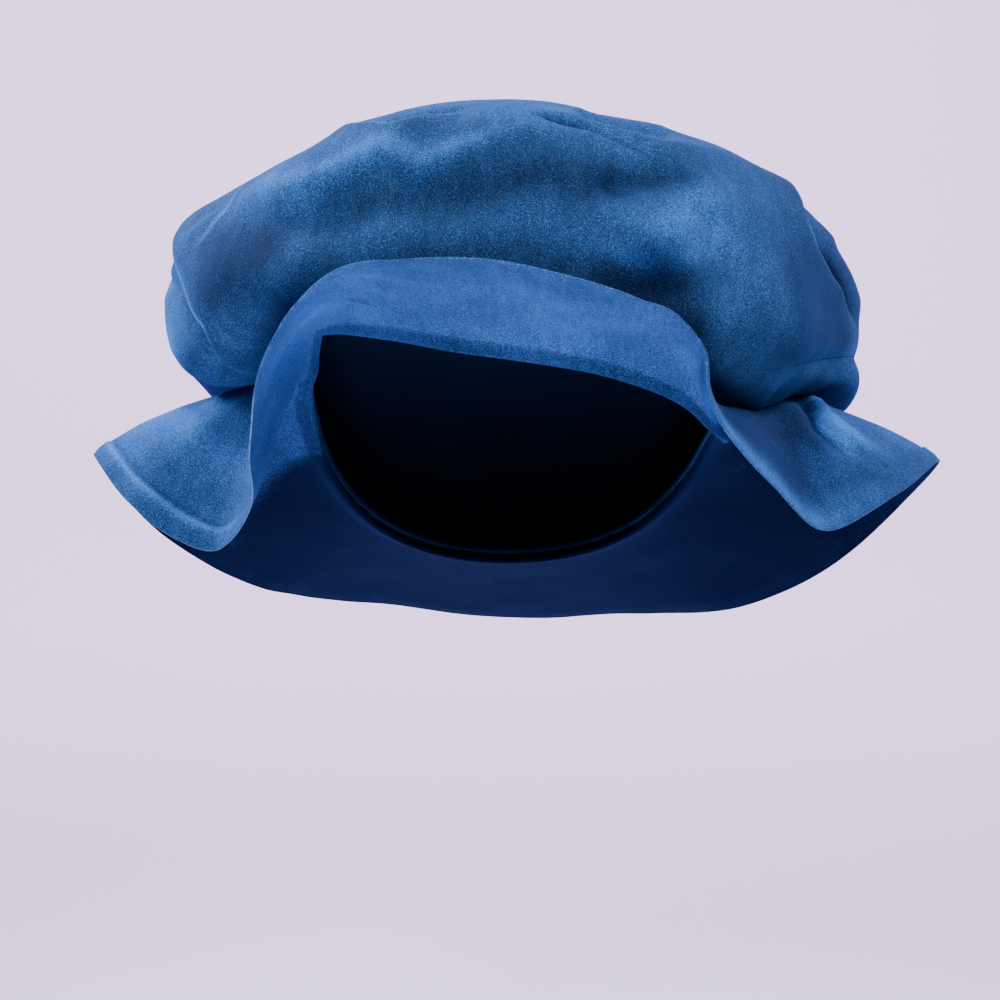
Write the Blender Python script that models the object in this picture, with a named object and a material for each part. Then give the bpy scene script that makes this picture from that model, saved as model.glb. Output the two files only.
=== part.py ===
"""Medieval flat cap of velvet: a puffed crown on a wide soft brim, in its worn form.

The front of the cap faces -Y and +Z is up as its wearer stands. The origin is the centre of the
head opening, whose plane leans back. Lengths are in millimetres until the mesh is made.
A bearing turns around the opening: 0 is the front, 90 the +X side and 180 the back.
"""

import math

import bmesh
import bpy
import numpy as np
from mathutils import Vector
from mathutils.bvhtree import BVHTree

MM = 0.001

# Head opening: an oval a head of 57 cm fills, in a plane that leans back
OPENING_HALF_WIDTH = 79.0
OPENING_HALF_DEPTH = 96.0
OPENING_SQUARENESS = 2.25
OPENING_LEAN_DEG = 33.0

# Cloth
BRIM_THICKNESS = 3.0
CROWN_THICKNESS = 2.0
PIECE_GAP = 1.2
RESTING_GAP = 2.2
CROWN_SEAM_GAP = 0.9

# Crown
CROWN_TOP_HEIGHT = 118.0
CROWN_TOP_SET_BACK = 4.0
CROWN_HALF_WIDTH = 130.0
CROWN_RUN = 250.0

# Mesh fineness
COLUMNS_PER_STATION = 3
BRIM_ROWS = 8
CROWN_COLUMNS = 88
CROWN_UNDER_ROWS = 8
CROWN_TOP_ROWS = 18
PROFILE_STEPS = 60

# The seam rides up over the left of the forehead and sags a little at the right
SEAM_COLUMNS = ("bearing", "rise")
SEAM = (
    (-150, 4),
    (-120, 18),
    (-98, 32),
    (-80, 38),
    (-66, 39),
    (-52, 31),
    (-28, 14),
    (-12, 4),
    (0, 0),
    (25, -4),
    (46, -5),
    (60, -6),
    (72, -3),
    (84, 6),
    (96, 18),
    (112, 22),
    (130, 16),
    (150, 6),
    (180, 0),
)

# The brim, one row for each turn of its hem: where the hem is, and how far the cloth arches up
# between seam and hem
BRIM_COLUMNS = ("bearing", "across", "depth", "height", "arch")
BRIM = (
    (-4, -12, -162, 95, 4),
    (14, 22, -159, 87, 4),
    (30, 42, -148, 79, 4),
    (44, 57, -131, 71, 4),
    (54, 66, -121, 58, 5),
    (62, 68, -117, 43, 6),
    (70, 75, -111, 27, 11),
    (78, 92, -103, 7, 19),
    (86, 114, -88, -12, 24),
    (93, 141, -60, -4, 22),
    (100, 165, -8, 1, 15),
    (108, 160, 52, -21, 12),
    (120, 133, 92, -57, 6),
    (138, 95, 125, -82, 3),
    (160, 45, 152, -91, 2),
    (180, 0, 160, -94, 2),
    (-160, -45, 154, -88, 2),
    (-140, -92, 131, -78, 3),
    (-124, -126, 101, -60, 6),
    (-112, -152, 62, -30, 10),
    (-104, -165, 12, 0, 14),
    (-97, -146, -32, -11, 18),
    (-91, -127, -46, -23, 17),
    (-86, -111, -54, -26, 10),
    (-80, -98, -70, -8, 6),
    (-72, -96, -86, 16, 4),
    (-62, -93, -103, 44, 4),
    (-50, -81, -121, 69, 4),
    (-36, -65, -139, 86, 4),
    (-20, -42, -155, 93, 4),
)

# The crown, one row for each section: reach and height of its widest line, its fullness above,
# how low its underside sags, and how wide its under piece is along the cloth
CROWN_SECTION_COLUMNS = ("bearing", "reach", "height", "fullness", "sag_to", "under")
CROWN = (
    (0, 127, 52, 2.6, 3, 28),
    (25, 128, 52, 2.5, 0, 28),
    (50, 130, 54, 2.4, 2, 31),
    (75, 129, 58, 2.4, 14, 54),
    (100, 136, 52, 2.6, 22, 75),
    (125, 131, 50, 2.2, 18, 74),
    (155, 123, 46, 2.1, 8, 66),
    (180, 120, 44, 2.1, 3, 64),
    (-150, 123, 46, 2.1, 8, 68),
    (-125, 133, 62, 2.1, 30, 78),
    (-105, 139, 76, 2.2, 43, 84),
    (-76, 134, 72, 2.5, 14, 42),
    (-50, 130, 58, 2.5, 22, 30),
    (-25, 128, 52, 2.6, 14, 28),
)

# Folds of the crown, from one place to another as a bearing and a share of the way from the
# seam to the top, how deep they press in (below 0 they stand out) and how wide they are
FOLD_COLUMNS = ("from_bearing", "from_share", "to_bearing", "to_share", "depth", "width")
FOLDS = (
    (-96, 0.54, -82, 0.36, 10, 11),
    (-82, 0.36, -76, 0.20, 7, 10),
    (46, 0.43, 62, 0.41, 5, 10),
    (58, 0.16, 104, 0.31, 6, 11),
    (86, 0.20, 106, 0.20, -4, 13),
    (-34, 0.47, -20, 0.43, 5, 9),
    (18, 0.50, 32, 0.51, 7, 11),
    (14, 0.30, 22, 0.36, 4, 12),
)


def column(table, columns, name):
    """One named column of a table, as an array."""
    return np.array([row[columns.index(name)] for row in table], float)


def turn_apart(first, second):
    """The smallest turn from one bearing to another, in degrees, -180 to 180."""
    return (np.asarray(first) - np.asarray(second) + 180.0) % 360.0 - 180.0


def around(bearings, values, wanted):
    """A smooth closed curve through values at the given bearings, read at the wanted bearings."""
    order = np.argsort(bearings)
    knots = bearings[order]
    heights = values[order]
    knots = np.concatenate([knots[-2:] - 360.0, knots, knots[:2] + 360.0])
    heights = np.concatenate([heights[-2:], heights, heights[:2]])
    slopes = np.gradient(heights, knots)
    turned = (np.asarray(wanted, float) - knots[1]) % 360.0 + knots[1]
    place = np.clip(np.searchsorted(knots, turned, side="right") - 1, 1, len(knots) - 2)
    span = knots[place + 1] - knots[place]
    part = (turned - knots[place]) / span
    one = 2 * part**3 - 3 * part**2 + 1
    two = part**3 - 2 * part**2 + part
    three = 3 * part**2 - 2 * part**3
    four = part**3 - part**2
    ends = one * heights[place] + three * heights[place + 1]
    return ends + span * (two * slopes[place] + four * slopes[place + 1])


def plane_axes():
    """Unit vectors of the opening's plane: across, towards the back, and out through the crown."""
    lean = math.radians(OPENING_LEAN_DEG)
    across = np.array([1.0, 0.0, 0.0])
    back = np.array([0.0, math.cos(lean), -math.sin(lean)])
    out = np.array([0.0, math.sin(lean), math.cos(lean)])
    return across, back, out


def seam_reach(bearings):
    """How far the head seam is from the centre of the opening."""
    turned = np.radians(bearings)
    wide = np.abs(np.sin(turned) / OPENING_HALF_WIDTH) ** OPENING_SQUARENESS
    deep = np.abs(np.cos(turned) / OPENING_HALF_DEPTH) ** OPENING_SQUARENESS
    return (wide + deep) ** (-1.0 / OPENING_SQUARENESS)


def seam_rise(bearings):
    """How far the head seam stands above the opening's plane."""
    at = column(SEAM, SEAM_COLUMNS, "bearing")
    return around(at, column(SEAM, SEAM_COLUMNS, "rise"), bearings)


def in_plane(bearings, reach, rise):
    """Points at the given bearings, reaches and heights over the opening's plane."""
    across, back, out = plane_axes()
    turned = np.radians(bearings)
    sideways = (reach * np.sin(turned))[..., None] * across
    lengthways = (-reach * np.cos(turned))[..., None] * back
    return sideways + lengthways + np.asarray(rise)[..., None] * out


def seam_points(bearings):
    """The head seam, where crown and brim meet."""
    return in_plane(bearings, seam_reach(bearings), seam_rise(bearings))


def brim_bearings():
    """Bearings of the brim's columns, the same number from each row of its table to the next."""
    at = np.sort(column(BRIM, BRIM_COLUMNS, "bearing"))
    ends = np.append(at, at[0] + 360.0)
    steps = np.arange(len(at) * COLUMNS_PER_STATION) / COLUMNS_PER_STATION
    return np.interp(steps, np.arange(len(ends)), ends)


def brim_sheet():
    """The middle of the brim's cloth, as columns around and rows from the seam to the hem."""
    bearings = brim_bearings()
    at = column(BRIM, BRIM_COLUMNS, "bearing")
    names = ("across", "depth", "height")
    hem = [around(at, column(BRIM, BRIM_COLUMNS, name), bearings) for name in names]
    hem = np.stack(hem, -1)
    arch = around(at, column(BRIM, BRIM_COLUMNS, "arch"), bearings)
    seam = seam_points(bearings)
    out = plane_axes()[2]
    share = np.linspace(0.0, 1.0, BRIM_ROWS)[None, :, None]
    lift = 4.0 * share * (1.0 - share) * (1.25 - 0.5 * share)
    flat = seam[:, None, :] * (1.0 - share) + hem[:, None, :] * share
    return flat + lift * arch[:, None, None] * out


def normals(sheet, capped):
    """Unit normals of a sheet closed around its columns; a capped sheet ends in one point."""
    around_step = np.roll(sheet, -1, 0) - np.roll(sheet, 1, 0)
    along_step = np.gradient(sheet, axis=1)
    if capped:
        around_step[:, -1] = around_step[:, -2]
    cross = np.cross(around_step, along_step)
    return cross / np.maximum(np.linalg.norm(cross, axis=-1, keepdims=True), 1e-9)


def fold_depth(bearings, shares, reaches):
    """How far the folds press the crown in, at each bearing and share of the way to the top."""
    depth = np.zeros(reaches.shape)
    for from_bearing, from_share, to_bearing, to_share, deep, wide in FOLDS:
        turned = math.radians(turn_apart(to_bearing, from_bearing))
        run = np.array([turned * CROWN_HALF_WIDTH, (to_share - from_share) * CROWN_RUN])
        ahead = np.radians(turn_apart(bearings, from_bearing)) * reaches
        along = (shares - from_share) * CROWN_RUN
        share = np.clip((ahead * run[0] + along * run[1]) / (run @ run), 0.0, 1.0)
        away = np.hypot(ahead - share * run[0], along - share * run[1])
        depth += deep * np.exp(-((away / wide) ** 2))
    return depth


def crown_profile(bearings):
    """The crown's line from the seam to the top at each bearing, finely: its reaches and rises."""
    at = column(CROWN, CROWN_SECTION_COLUMNS, "bearing")
    names = ("reach", "height", "fullness", "sag_to")
    reach, height, full, sag_to = (
        around(at, column(CROWN, CROWN_SECTION_COLUMNS, name), bearings)[:, None] for name in names
    )
    stand_off = (BRIM_THICKNESS + CROWN_THICKNESS) / 2.0 + PIECE_GAP
    start_reach = seam_reach(bearings)[:, None]
    start_rise = seam_rise(bearings)[:, None] + stand_off
    turned = np.linspace(0.0, math.pi / 2.0, PROFILE_STEPS)[None, :]
    share = np.linspace(0.0, 1.0, PROFILE_STEPS)[None, :]
    sagging = 3.0 * share * (1.0 - share)
    middle_reach = start_reach * 0.4 + reach * 0.6
    under_reach = (1.0 - share) ** 3 * start_reach + sagging * (1.0 - share) * middle_reach
    under_reach = under_reach + (sagging * share + share**3) * reach
    under_rise = (1.0 - share) ** 3 * start_rise + sagging * sag_to + share**3 * height
    over_reach = reach * np.cos(turned[:, 1:]) ** (2.0 / full)
    over_rise = height + (CROWN_TOP_HEIGHT - height) * np.sin(turned[:, 1:]) ** (2.0 / full)
    over_reach[:, -1] = 0.0
    reaches = np.concatenate([under_reach, over_reach], 1)
    return reaches, np.concatenate([under_rise, over_rise], 1)


def crown_sheet():
    """The middle of the crown's cloth, as columns around and rows from the seam to the top."""
    bearings = np.arange(CROWN_COLUMNS) * 360.0 / CROWN_COLUMNS - 180.0
    at = column(CROWN, CROWN_SECTION_COLUMNS, "bearing")
    joined = around(at, column(CROWN, CROWN_SECTION_COLUMNS, "under"), bearings)[:, None]
    fine_reach, fine_rise = crown_profile(bearings)
    steps = np.hypot(np.diff(fine_reach, axis=1), np.diff(fine_rise, axis=1))
    along = np.concatenate([np.zeros((len(bearings), 1)), np.cumsum(steps, 1)], 1)
    below = np.linspace(0.0, 1.0, CROWN_UNDER_ROWS)[None, :]
    above = np.linspace(0.0, 1.0, CROWN_TOP_ROWS)[None, 1:]
    places = np.concatenate([joined * below, joined + (along[:, -1:] - joined) * above], 1)
    reaches = np.array([np.interp(*trio) for trio in zip(places, along, fine_reach)])
    rises = np.array([np.interp(*trio) for trio in zip(places, along, fine_rise)])
    shares = places / along[:, -1:]
    grown = np.clip(shares / 0.2, 0.0, 1.0) * np.clip((1.0 - shares) / 0.15, 0.0, 1.0)
    pressed = fold_depth(bearings[:, None], shares, reaches) * grown
    outward = np.gradient(reaches, axis=1)
    upward = np.gradient(rises, axis=1)
    length = np.hypot(outward, upward)
    reaches = reaches - pressed * upward / length
    rises = rises + pressed * outward / length
    reaches[:, -1] = 0.0
    rises[:, -1] = rises[:, -1].mean()
    sheet = in_plane(np.broadcast_to(bearings[:, None], reaches.shape), reaches, rises)
    return sheet + (shares**2)[..., None] * CROWN_TOP_SET_BACK * plane_axes()[1]


def parted(sheet, row, gap):
    """The sheet below and above one of its rows, drawn apart there by the gap."""
    below = sheet[:, : row + 1].copy()
    above = sheet[:, row:].copy()
    for half, line, beside in ((below, -1, -2), (above, 0, 1)):
        step = half[:, beside] - half[:, line]
        half[:, line] += step * gap / 2.0 / np.linalg.norm(step, axis=-1, keepdims=True)
    return below, above


def lifted_off(sheet, other, distance):
    """The sheet moved out wherever it is nearer than the distance to the upper side of another."""
    columns, rows = other.shape[:2]
    points = [Vector(point) for point in other.reshape(-1, 3)]
    faces = []
    for i in range(columns):
        for j in range(rows - 1):
            k = (i + 1) % columns
            faces.append((i * rows + j, k * rows + j, k * rows + j + 1, i * rows + j + 1))
    tree = BVHTree.FromPolygons(points, faces)
    out = Vector(plane_axes()[2])
    moved = sheet.copy()
    for i in range(sheet.shape[0]):
        for j in range(sheet.shape[1] // 2 + 2):
            for _ in range(3):
                point = Vector(moved[i, j])
                near, normal, _, away = tree.find_nearest(point)
                if normal.dot(out) < 0.0:
                    normal = -normal
                side = (point - near).dot(normal)
                if side >= distance or (away > distance and side > 0.0) or away > 40.0:
                    break
                moved[i, j] = point + normal * (distance - side)
    return moved


def shell(name, sheet, away, thickness, capped):
    """A closed solid of even thickness around a sheet closed around its columns."""
    away = away * thickness / 2.0
    if capped:
        away[:, -1] = away[:, -1].mean(0)
    mesh = bmesh.new()
    columns, rows = sheet.shape[:2]
    sides = []
    for sign in (1.0, -1.0):
        points = (sheet + sign * away) * MM
        kept = rows - 1 if capped else rows
        side = [[mesh.verts.new(points[i, j]) for j in range(kept)] for i in range(columns)]
        if capped:
            top = mesh.verts.new(points[:, -1].mean(0))
            for line in side:
                line.append(top)
        sides.append(side)
    for number, side in enumerate(sides):
        for i in range(columns):
            here = side[i]
            following = side[(i + 1) % columns]
            for j in range(rows - 1):
                corners = [here[j], following[j], following[j + 1], here[j + 1]]
                if capped and j == rows - 2:
                    corners = corners[:3]
                mesh.faces.new(corners if number else corners[::-1])
    for i in range(columns):
        k = (i + 1) % columns
        ends = (0,) if capped else (0, rows - 1)
        for j in ends:
            mesh.faces.new([sides[0][i][j], sides[0][k][j], sides[1][k][j], sides[1][i][j]])
    bmesh.ops.triangulate(mesh, faces=mesh.faces)
    bmesh.ops.recalc_face_normals(mesh, faces=mesh.faces)
    data = bpy.data.meshes.new(name)
    mesh.to_mesh(data)
    mesh.free()
    made = bpy.data.objects.new(name, data)
    bpy.context.scene.collection.objects.link(made)
    return made


def velvet(name, colour):
    """A matt blue cloth material."""
    material = bpy.data.materials.new(name)
    material.use_nodes = True
    shader = material.node_tree.nodes["Principled BSDF"]
    shader.inputs["Base Color"].default_value = (*colour, 1.0)
    shader.inputs["Roughness"].default_value = 0.9
    return material


def main():
    """Builds the brim and the crown's two pieces in an empty scene."""
    for thing in list(bpy.data.objects):
        bpy.data.objects.remove(thing)
    brim = brim_sheet()
    distance = (BRIM_THICKNESS + CROWN_THICKNESS) / 2.0 + RESTING_GAP
    crown = lifted_off(crown_sheet(), brim, distance)
    made = shell("brim", brim, normals(brim, False), BRIM_THICKNESS, capped=False)
    made.data.materials.append(velvet("brim_velvet", (0.03, 0.13, 0.38)))
    away = normals(crown, True)
    seam = CROWN_UNDER_ROWS - 1
    under, top = parted(crown, seam, CROWN_SEAM_GAP)
    made = shell("crown_under", under, away[:, : seam + 1], CROWN_THICKNESS, capped=False)
    made.data.materials.append(velvet("crown_under_velvet", (0.02, 0.1, 0.32)))
    made = shell("crown_top", top, away[:, seam:], CROWN_THICKNESS, capped=True)
    made.data.materials.append(velvet("crown_velvet", (0.02, 0.1, 0.32)))


if __name__ == "__main__":
    main()
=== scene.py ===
"""Looks of the medieval flat cap: its velvet crown and brim, and the studio."""

import logging
import math
from dataclasses import dataclass, field
from enum import Enum
from typing import NamedTuple

import bmesh
import bpy
import numpy as np
from mathutils import Euler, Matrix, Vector, noise
from mathutils.bvhtree import BVHTree


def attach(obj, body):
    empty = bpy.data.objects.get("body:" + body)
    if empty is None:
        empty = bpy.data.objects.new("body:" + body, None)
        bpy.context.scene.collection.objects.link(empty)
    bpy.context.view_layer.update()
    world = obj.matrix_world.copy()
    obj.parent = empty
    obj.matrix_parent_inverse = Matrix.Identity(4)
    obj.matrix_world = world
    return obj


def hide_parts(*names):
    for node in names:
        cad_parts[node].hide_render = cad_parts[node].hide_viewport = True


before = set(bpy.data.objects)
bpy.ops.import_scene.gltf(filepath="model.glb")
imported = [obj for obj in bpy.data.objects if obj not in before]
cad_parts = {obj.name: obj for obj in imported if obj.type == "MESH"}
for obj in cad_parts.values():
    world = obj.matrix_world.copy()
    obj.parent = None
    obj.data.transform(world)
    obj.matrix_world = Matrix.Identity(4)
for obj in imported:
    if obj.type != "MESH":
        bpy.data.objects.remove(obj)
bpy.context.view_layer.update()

LOG = logging.getLogger("flat_cap")
MM = 0.001


class SeamPoint(NamedTuple):
    """A bearing in degrees and how far the head seam stands above the opening's plane, in mm."""

    bearing: float
    rise: float


class HemPoint(NamedTuple):
    """A turn of the hem: bearing of its radial line, place in mm, and the cloth's arch in mm."""

    bearing: float
    across: float
    depth: float
    height: float
    arch: float


class CrownSection(NamedTuple):
    """A section of the crown, in mm.

    It gives the reach and height of its widest line, its fullness above, how low its
    underside sags, how wide its under piece is along the cloth, and how deep the seam of
    its two pieces draws in.
    """

    bearing: float
    reach: float
    height: float
    fullness: float
    sag_to: float
    under: float
    dip: float


class Fold(NamedTuple):
    """A fold: its path as (bearing, share) pairs, and its shape across in mm.

    press is how deep it presses in (negative stands out), width how wide, step how much
    higher the cloth is on its left side, and reach how far that step fades out.
    """

    path: tuple[tuple[float, float], ...]
    press: float
    width: float
    step: float = 0.0
    reach: float = 12.0


SEAM_POINTS = tuple(
    SeamPoint(*row)
    for row in (
        (-150, 4), (-120, 18), (-98, 32), (-80, 38), (-66, 39), (-52, 31), (-28, 14),
        (-12, 4), (0, 0), (25, -4), (46, -5), (60, -6), (72, -3), (84, 6),
        (96, 18), (112, 22), (130, 16), (150, 6), (180, 0),
    )
)

HEM_POINTS = (
    HemPoint(-4, -12, -162, 95, 4),
    HemPoint(14, 22, -159, 87, 4),
    HemPoint(30, 42, -148, 79, 4),
    HemPoint(44, 57, -131, 71, 4),
    HemPoint(54, 66, -121, 58, 5),
    HemPoint(62, 68, -117, 43, 6),
    HemPoint(70, 75, -111, 27, 11),
    HemPoint(78, 92, -103, 7, 19),
    HemPoint(86, 114, -88, -12, 24),
    HemPoint(93, 141, -60, -4, 22),
    HemPoint(100, 163, -8, 1, 14),
    HemPoint(108, 159, 52, -22, 11),
    HemPoint(120, 133, 92, -57, 6),
    HemPoint(138, 95, 125, -82, 3),
    HemPoint(160, 45, 152, -91, 2),
    HemPoint(180, 0, 160, -94, 2),
    HemPoint(-160, -45, 154, -88, 2),
    HemPoint(-140, -92, 131, -78, 3),
    HemPoint(-124, -126, 101, -60, 6),
    HemPoint(-112, -152, 62, -30, 10),
    HemPoint(-104, -163, 12, 0, 13),
    HemPoint(-97, -146, -32, -11, 18),
    HemPoint(-91, -127, -46, -23, 17),
    HemPoint(-86, -111, -54, -26, 10),
    HemPoint(-80, -98, -70, -8, 6),
    HemPoint(-72, -96, -86, 16, 4),
    HemPoint(-62, -93, -103, 44, 4),
    HemPoint(-50, -81, -121, 69, 4),
    HemPoint(-36, -65, -139, 86, 4),
    HemPoint(-20, -42, -155, 93, 4),
)

CROWN_SECTIONS = (
    CrownSection(0, 127, 52, 2.6, 3, 24, 0),
    CrownSection(25, 128, 52, 2.5, 0, 24, 0),
    CrownSection(50, 130, 54, 2.4, 2, 27, 0),
    CrownSection(75, 129, 58, 2.4, 14, 50, 0.3),
    CrownSection(100, 136, 52, 2.6, 22, 74, 0.8),
    CrownSection(125, 131, 50, 2.2, 18, 74, 1.3),
    CrownSection(155, 123, 46, 2.1, 8, 66, 1.3),
    CrownSection(180, 120, 44, 2.1, 3, 64, 1.3),
    CrownSection(-150, 123, 46, 2.1, 8, 68, 1.3),
    CrownSection(-125, 133, 62, 2.1, 30, 78, 1.3),
    CrownSection(-105, 139, 76, 2.2, 43, 84, 1.2),
    CrownSection(-76, 134, 72, 2.25, 14, 34, 0.6),
    CrownSection(-50, 130, 58, 2.3, 22, 25, 0),
    CrownSection(-25, 128, 52, 2.5, 14, 24, 0),
)

# Paths on the crown, as (bearing, share): where the front puff laps over the lobes behind it
LEFT_EDGE = (
    (-84, 0.47), (-76, 0.409), (-71.2, 0.336), (-67.9, 0.275),
    (-65, 0.21), (-71, 0.15), (-76, 0.13),
)
RIGHT_EDGE = (
    (61, 0.51), (60, 0.46), (58, 0.42), (57.2, 0.385),
    (60, 0.355), (67, 0.342), (76, 0.337), (90, 0.325),
)
# The crest of the front, the painted highlight above it, and the painted shade below it
CREST = (
    (-53, 0.37), (-48, 0.35), (-41, 0.307), (-30, 0.315),
    (-22, 0.355), (-15, 0.311), (-9, 0.346), (4, 0.41),
)
CREST_PAINTED_HIGHLIGHT = (
    (-53, 0.39), (-41, 0.33), (-30, 0.335), (-22, 0.375),
    (-15, 0.335), (-9, 0.37), (4, 0.43),
)
FRONT_PAINTED_SHADE = (
    (-46, 0.25), (-29, 0.25), (-22, 0.275), (-15, 0.25),
    (-7, 0.285), (5, 0.325), (14, 0.30),
)
# Where the puff hangs over a lower roll at the right
OVERHANG = (
    (48, 0.115), (56, 0.137), (62, 0.155), (69, 0.187),
    (84, 0.242), (93, 0.293), (108, 0.31),
)
# The notch along the top
NOTCH = ((-36, 0.48), (-31, 0.462), (-26.3, 0.433), (-22.1, 0.417), (-17, 0.444), (-11, 0.462))

CROWN_FOLDS = (
    # The front puff laps over the lobe at the left back
    Fold(tuple((bearing - 3.2, share) for bearing, share in LEFT_EDGE), 7, 4.5, 7, 22),
    Fold(((-102, 0.43), (-92, 0.42), (-84, 0.43)), 6, 9),
    Fold(((-90, 0.37), (-76, 0.33)), 2.5, 4),
    Fold(((-66, 0.46), (-60, 0.40), (-54, 0.32)), 2.0, 5),
    Fold(((-70, 0.41), (-61, 0.41)), 1.6, 4),
    # The notch along the top
    Fold(tuple((bearing, share + 0.014) for bearing, share in NOTCH), 5, 3.2, -4, 12),
    Fold(((4, 0.452), (9, 0.443), (13, 0.441), (19, 0.415), (26, 0.39)), 3.0, 2.6, 2.0, 10),
    # The dip of the top beyond it
    Fold(((12, 0.53), (20, 0.51), (33, 0.51)), 8, 13),
    # The crest of the front, with its hollow below
    Fold(CREST, -2.5, 6, 5, 24),
    Fold(((-44, 0.25), (-29, 0.25), (-15, 0.25), (-4, 0.30)), 3, 9),
    # The pillow at the right, with hollows above and below
    Fold(((38, 0.35), (30, 0.318), (24, 0.25), (17, 0.212)), -6, 12),
    Fold(((13, 0.30), (18, 0.334), (24, 0.352), (30, 0.39)), 6, 8),
    Fold(((11, 0.165), (22, 0.15), (33, 0.185), (41, 0.25)), 3.5, 9),
    # The front puff's right edge over the lobe behind it
    Fold(tuple((bearing + 1.5, share + 0.014) for bearing, share in RIGHT_EDGE), 5.5, 3.2, -6, 14),
    Fold(((68, 0.43), (74, 0.40), (86, 0.385), (98, 0.38)), -4.5, 9),
    # The puff hangs over a lower roll at the right
    Fold(OVERHANG, 2.4, 6, 3, 15),
    Fold(((86, 0.25), (106, 0.25)), -2.5, 9),
    Fold(((84, 0.15), (102, 0.17)), 3.5, 9),
    Fold(((64, 0.10), (76, 0.13), (84, 0.15)), 4, 9),
    # Folds of the back, where the cloth sags from the top
    Fold(((150, 0.62), (138, 0.44), (128, 0.30)), 5, 10),
    Fold(((-172, 0.60), (-165, 0.42), (-168, 0.28)), 5, 11),
    Fold(((-138, 0.64), (-132, 0.48), (-122, 0.34)), 4, 9),
)

# Light and shade painted on the pile along a path: press is how much darker it is painted, and
# negative how much lighter
CROWN_PAINTED_LIGHT = (
    # Painted highlight along the crest of the front and painted shade below it
    Fold(CREST_PAINTED_HIGHLIGHT, -0.20, 5.5),
    Fold(FRONT_PAINTED_SHADE, 0.24, 10),
    # The pillow at the right, with painted highlights on it and painted shade in the hollows above
    # and below; then painted light on the front, and painted shade low on the front above the brim
    Fold(((37, 0.345), (30, 0.318), (24, 0.25), (17, 0.212)), -0.13, 7),
    Fold(((14, 0.205), (20, 0.19), (27, 0.205), (33, 0.26)), -0.20, 4),
    Fold(((12, 0.30), (18, 0.334), (24, 0.352), (30, 0.39)), 0.28, 8),
    Fold(((10, 0.165), (22, 0.15), (33, 0.185), (41, 0.25)), 0.22, 9),
    Fold(((-16, 0.185), (-7, 0.225), (3, 0.23)), -0.10, 12),
    Fold(((-50, 0.12), (-20, 0.15), (0, 0.17), (30, 0.12), (48, 0.10)), 0.22, 10),
    # Painted highlights: thin light lines where the cloth turns over sharply, and a thin painted
    # shadow in the crease past the notch
    Fold(LEFT_EDGE, -0.80, 1.3),
    Fold(((-57, 0.45), (-59, 0.39), (-61, 0.35), (-65, 0.345)), -0.35, 1.6),
    Fold(RIGHT_EDGE, -0.75, 1.3),
    Fold(NOTCH, -0.95, 1.3),
    Fold(((4, 0.447), (9, 0.438), (13, 0.436)), 0.45, 2.2),
    # Painted shade on the two sides and about the overhang at the right, and painted light on the
    # lobe at the left
    Fold(((-66, 0.24), (-60, 0.28), (-50, 0.24), (-40, 0.20)), 0.42, 18),
    Fold(((-84, 0.20), (-92, 0.30), (-92, 0.42)), -0.36, 20),
    Fold(((52, 0.20), (60, 0.27), (74, 0.33), (86, 0.36)), 0.40, 24),
    Fold(((54, 0.165), (66, 0.21), (80, 0.27), (88, 0.31)), 0.26, 8),
    Fold(((74, 0.155), (82, 0.165), (90, 0.17)), 0.34, 8),
)

# Paths on the brim: the pleat of the right wing, and the line along the left wing's hem
PLEAT = ((97, 0.42), (95.7, 0.51), (93.6, 0.60), (93.8, 0.70), (94.6, 0.84))
HEM_LINE = (-108, -101, -97, -91, -82)

BRIM_FOLDS = (
    Fold(((94, 0.42), (93, 0.53), (91.6, 0.63), (92, 0.75), (91.6, 0.82)), 3.0, 2.6),
    Fold(PLEAT, -2.6, 2.4),
    Fold(((-37, 0.42), (-31, 0.30)), 0.8, 2.5),
    Fold(((-27, 0.29), (-21, 0.17)), 0.8, 2.2),
)

# Light and shade painted on the brim's upper side: along its pleats, on the right wing, then on the
# left one
BRIM_TOP_PAINTED_LIGHT = (
    Fold(PLEAT, -0.60, 1.3),
    Fold(((94.5, 0.50), (92.4, 0.63), (92.9, 0.75), (92.4, 0.82)), -0.40, 1.1),
    Fold(((91.5, 0.50), (90, 0.62), (90, 0.76)), 0.25, 4),
    Fold(((56, 0.95), (66, 0.955), (76, 0.96), (84, 0.965), (92, 0.97)), -0.24, 3.6),
    Fold(((60, 0.70), (72, 0.76), (80, 0.80), (90, 0.84)), 0.46, 13),
    Fold(((70, 0.48), (82, 0.58), (90, 0.64)), 0.40, 18),
    Fold(tuple((bearing, 0.935) for bearing in HEM_LINE), -0.36, 1.2),
    Fold(tuple((bearing, 0.916) for bearing in HEM_LINE), 0.14, 1.2),
    Fold(((-106, 0.90), (-102, 0.75), (-100, 0.55)), -0.26, 9),
    Fold(((-99, 0.90), (-95, 0.86), (-91, 0.85), (-86, 0.80)), 0.08, 10),
)

# Light and shade painted on its underside, which the turned-up front shows
BRIM_UNDER_PAINTED_LIGHT = (
    Fold(((-14, 0.85), (24, 0.85)), 0.12, 16),
    Fold(((-54, 0.50), (-44, 0.60)), -0.14, 18),
    Fold(((40, 0.55), (52, 0.45)), -0.10, 16),
    Fold(((-37, 0.42), (-31, 0.30)), 0.15, 2.5),
    Fold(((-74, 0.70), (-95, 0.35), (-112, 0.20)), -0.06, 26),
)


def add_node(
    tree: bpy.types.NodeTree,
    kind: str,
    settings: dict | None = None,
    links: dict | None = None,
) -> bpy.types.Node:
    """Adds one shader node.

    Args:
        tree: the material's node tree.
        kind: the node's type.
        settings: attributes by name, or input values by the input's name or number.
        links: for each input, the socket that feeds it.

    Returns:
        The node.
    """
    node = tree.nodes.new(kind)
    for name, value in (settings or {}).items():
        if isinstance(name, str) and hasattr(node, name):
            setattr(node, name, value)
        else:
            node.inputs[name].default_value = value
    for name, socket in (links or {}).items():
        tree.links.new(socket, node.inputs[name])
    return node


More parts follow.
